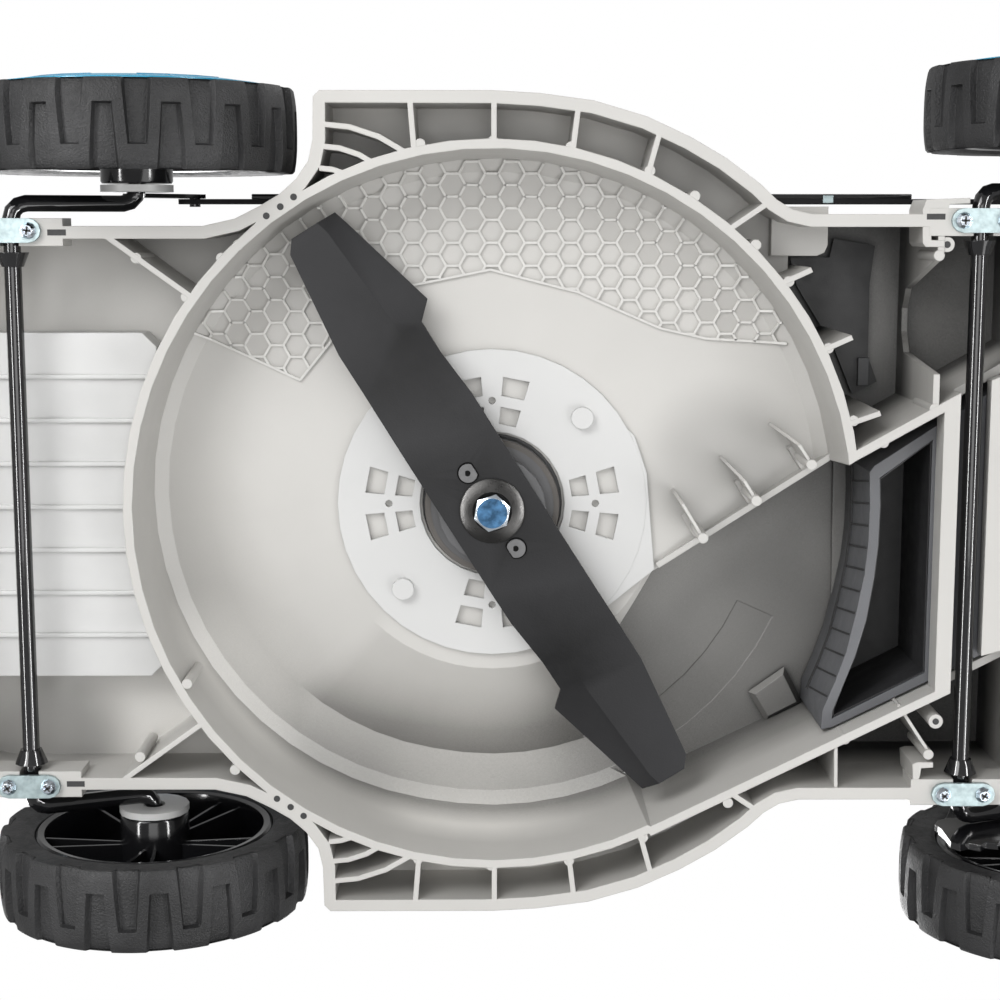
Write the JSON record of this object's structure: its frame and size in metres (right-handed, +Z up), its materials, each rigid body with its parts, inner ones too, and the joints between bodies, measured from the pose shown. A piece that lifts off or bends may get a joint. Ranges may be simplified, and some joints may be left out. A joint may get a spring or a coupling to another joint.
{
  "type": "cordless lawn mower",
  "caption": "Battery push mower with a pale moulded deck, spiral chute with mulching plug, blue cover, cranked axles with one-lever height setting, and a folding tube handle",
  "frame": {"origin": "on the ground under the middle of the whole mower", "axes": "+X forward, from the grip bar to the nose; +Y to the mower's left; +Z up"},
  "size_m": [1.2853, 0.5116, 0.9972],
  "materials": {
    "deck_grey": "satin",
    "pale_grey": "satin",
    "motor_black": "satin",
    "blade_black": "satin",
    "blue_zinc": "bright blue zinc plating",
    "zinc": "bright zinc plating",
    "gloss_black_steel": "gloss",
    "tyre_black": "grained",
    "rim_black": "gloss",
    "cap_blue": "gloss",
    "spacer_grey": "matte",
    "plug_grey": "satin",
    "black_plastic": "satin",
    "cover_blue": "gloss",
    "battery_black": "satin",
    "signal_red": "gloss",
    "handle_black": "semi gloss"
  },
  "bodies": {
    "deck": {"deck_housing": "deck_grey", "front_box": "pale_grey", "motor_plate": "pale_grey", "motor_body": "motor_black", "axle_clamp_front_left": "zinc", "axle_clamp_front_right": "zinc", "axle_clamp_rear_left": "zinc", "axle_clamp_rear_right": "zinc", "clamp_screw_front_left_1": "zinc", "clamp_screw_front_left_2": "zinc", "clamp_screw_front_right_1": "zinc", "clamp_screw_front_right_2": "zinc", "clamp_screw_rear_left_1": "zinc", "clamp_screw_rear_left_2": "zinc", "clamp_screw_rear_right_1": "zinc", "clamp_screw_rear_right_2": "zinc", "top_cover": "cover_blue", "battery_bay": "black_plastic", "pivot_bolt_left": "zinc", "pivot_bolt_right": "zinc"},
    "rotor": {"blade_adapter": "motor_black", "blade": "blade_black", "blade_washer": "blade_black", "blade_bolt": "blue_zinc"},
    "rear_axle_set": {"rear_axle": "gloss_black_steel", "notch_plate": "gloss_black_steel", "height_lever": "gloss_black_steel"},
    "front_axle_set": {"front_axle": "gloss_black_steel"},
    "link": {"link_rod": "gloss_black_steel"},
    "plug": {"mulch_plug": "plug_grey"},
    "flap": {"rear_flap": "black_plastic"},
    "battery": {"battery_pack": "battery_black"},
    "key": {"safety_key": "signal_red"},
    "lower_handle": {"handle_lower_left": "handle_black", "handle_lower_right": "handle_black", "handle_brace": "handle_black"},
    "upper_handle": {"handle_upper": "handle_black", "switch_box": "black_plastic"},
    "knob_left": {"fold_knob_left": "black_plastic"},
    "knob_right": {"fold_knob_right": "black_plastic"},
    "bail": {"bail_lever": "gloss_black_steel"},
    "button": {"lock_button": "signal_red"},
    "wheel_front_left": {"tyre_front_left": "tyre_black", "rim_front_left": "rim_black", "hubcap_front_left": "cap_blue", "hub_spacer_front_left": "spacer_grey"},
    "wheel_front_right": {"tyre_front_right": "tyre_black", "rim_front_right": "rim_black", "hubcap_front_right": "cap_blue", "hub_spacer_front_right": "spacer_grey"},
    "wheel_rear_left": {"tyre_rear_left": "tyre_black", "rim_rear_left": "rim_black", "hubcap_rear_left": "cap_blue", "hub_spacer_rear_left": "spacer_grey"},
    "wheel_rear_right": {"tyre_rear_right": "tyre_black", "rim_rear_right": "rim_black", "hubcap_rear_right": "cap_blue", "hub_spacer_rear_right": "spacer_grey"}
  },
  "joints": [
    {"name": "blade_spin", "type": "hinge", "parent": "deck", "child": "rotor", "pos_m": [0.32475, 0, 0.07], "axis": [0, 0, 1], "continuous": true},
    {"name": "rear_height", "type": "hinge", "parent": "deck", "child": "rear_axle_set", "pos_m": [0.05275, 0, 0.065], "axis": [0, 1, 0], "range_deg": [0, 40]},
    {"name": "front_height", "type": "hinge", "parent": "deck", "child": "front_axle_set", "pos_m": [0.59175, 0, 0.065], "axis": [0, 1, 0], "range_deg": [0, 40]},
    {"name": "link_turn", "type": "hinge", "parent": "front_axle_set", "child": "link", "pos_m": [0.49875, 0.175, 0.124], "axis": [0, 1, 0], "range_deg": [-40, 0]},
    {"name": "front_left_roll", "type": "hinge", "parent": "front_axle_set", "child": "wheel_front_left", "pos_m": [0.52625, 0.214, 0.09106], "axis": [0, 1, 0], "continuous": true},
    {"name": "front_right_roll", "type": "hinge", "parent": "front_axle_set", "child": "wheel_front_right", "pos_m": [0.52625, -0.214, 0.09106], "axis": [0, 1, 0], "continuous": true},
    {"name": "rear_left_roll", "type": "hinge", "parent": "rear_axle_set", "child": "wheel_rear_left", "pos_m": [-0.01275, 0.2265, 0.09106], "axis": [0, 1, 0], "continuous": true},
    {"name": "rear_right_roll", "type": "hinge", "parent": "rear_axle_set", "child": "wheel_rear_right", "pos_m": [-0.01275, -0.2265, 0.09106], "axis": [0, 1, 0], "continuous": true},
    {"name": "plug_out", "type": "slide", "parent": "deck", "child": "plug", "axis": [-0.8751, 0.484, 0], "range_m": [0, 0.17]},
    {"name": "flap_lift", "type": "hinge", "parent": "deck", "child": "flap", "pos_m": [0.02475, 0.0085, 0.172], "axis": [0, 1, 0], "range_deg": [0, 65]},
    {"name": "battery_out", "type": "slide", "parent": "deck", "child": "battery", "axis": [0, 0, 1], "range_m": [0, 0.09]},
    {"name": "key_out", "type": "slide", "parent": "deck", "child": "key", "axis": [0, 0, 1], "range_m": [0, 0.03]},
    {"name": "handle_fold", "type": "hinge", "parent": "deck", "child": "lower_handle", "pos_m": [0.03975, 0, 0.188], "axis": [0, -1, 0], "range_deg": [-114, 0]},
    {"name": "upper_fold", "type": "hinge", "parent": "lower_handle", "child": "upper_handle", "pos_m": [-0.33025, 0, 0.58], "axis": [0, 1, 0], "range_deg": [-150, 0]},
    {"name": "knob_left_turn", "type": "hinge", "parent": "lower_handle", "child": "knob_left", "pos_m": [-0.33025, 0.1795, 0.58], "axis": [0, 1, 0], "continuous": true},
    {"name": "knob_right_turn", "type": "hinge", "parent": "lower_handle", "child": "knob_right", "pos_m": [-0.33025, -0.1795, 0.58], "axis": [0, 1, 0], "continuous": true},
    {"name": "bail_squeeze", "type": "hinge", "parent": "upper_handle", "child": "bail", "pos_m": [-0.51935, 0, 0.85045], "axis": [0, 1, 0], "range_deg": [-45, 0], "stiffness_Nm_per_rad": 0.8, "springref_deg": 20.05},
    {"name": "button_press", "type": "slide", "parent": "upper_handle", "child": "button", "axis": [-0.8195, 0, -0.573], "range_m": [0, 0.005], "stiffness_N_per_m": 400, "springref_m": -0.003}
  ],
  "couplings": [
    {"joint": "front_height", "follows": "rear_height", "ratio": 1},
    {"joint": "link_turn", "follows": "rear_height", "ratio": -1}
  ]
}
